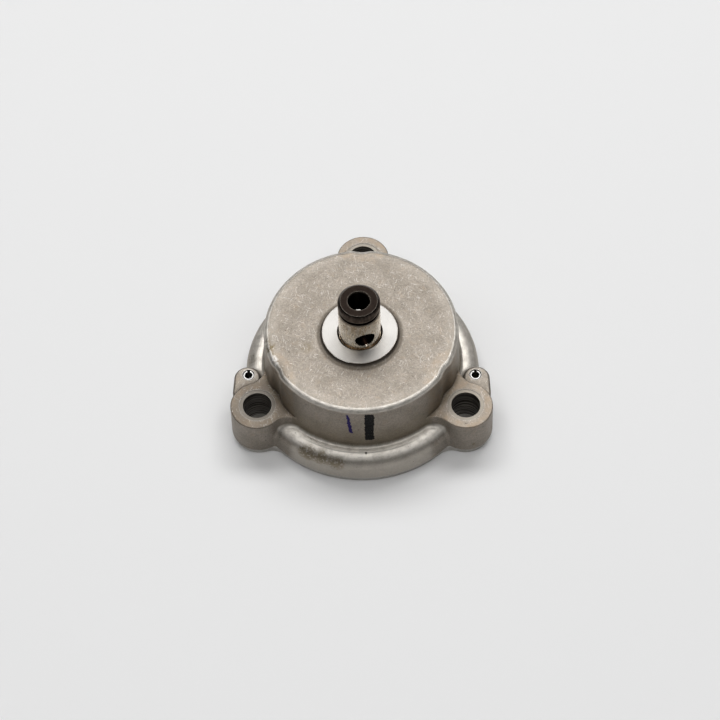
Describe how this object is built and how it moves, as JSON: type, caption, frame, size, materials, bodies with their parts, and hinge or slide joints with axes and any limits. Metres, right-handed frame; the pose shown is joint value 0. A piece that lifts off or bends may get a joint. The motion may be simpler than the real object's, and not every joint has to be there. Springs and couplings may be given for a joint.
{
  "type": "engine oil pump",
  "caption": "Round die-cast trochoid oil pump with bolt lugs, a rounded rim and a hollow drive shaft standing out of a machined boss.",
  "frame": {"origin": "shaft axis where it meets the mounting face, which is the underside of the cover plate", "axes": "+Z along the shaft towards its free end, +Y towards the mounting lug behind the shaft, +X to the right with the two front lugs nearest the viewer"},
  "size_m": [0.0637, 0.0648, 0.0377],
  "materials": {
    "cast_body": "die-cast, fine grain, worn edges",
    "plate": "ground",
    "shaft": "ground, heat tinted",
    "washer": "ground",
    "ground_pin": "ground",
    "sintered_steel": "sintered, ground faces",
    "spring_steel": "rolled spring steel",
    "zinc_steel": "zinc plated"
  },
  "bodies": {
    "housing": {"pump_body": "cast_body", "cover_plate": "plate", "spring_pin_left": "spring_steel", "spring_pin_right": "spring_steel", "cover_screw_1": "zinc_steel", "cover_screw_2": "zinc_steel", "cover_screw_3": "zinc_steel"},
    "shaft": {"drive_shaft": "shaft", "thrust_washer": "washer", "rotor_drive_pin": "ground_pin", "inner_rotor": "sintered_steel"},
    "outer_rotor": {"outer_rotor": "sintered_steel"}
  },
  "joints": [
    {"name": "shaft_spin", "type": "hinge", "parent": "housing", "child": "shaft", "pos_m": [0, 0, 0.01], "axis": [0, 0, 1], "continuous": true},
    {"name": "outer_rotor_spin", "type": "hinge", "parent": "housing", "child": "outer_rotor", "pos_m": [0.00026, 0.00166, 0.01], "axis": [0, 0, 1], "continuous": true}
  ],
  "couplings": [
    {"joint": "outer_rotor_spin", "follows": "shaft_spin", "ratio": 0.85714}
  ]
}
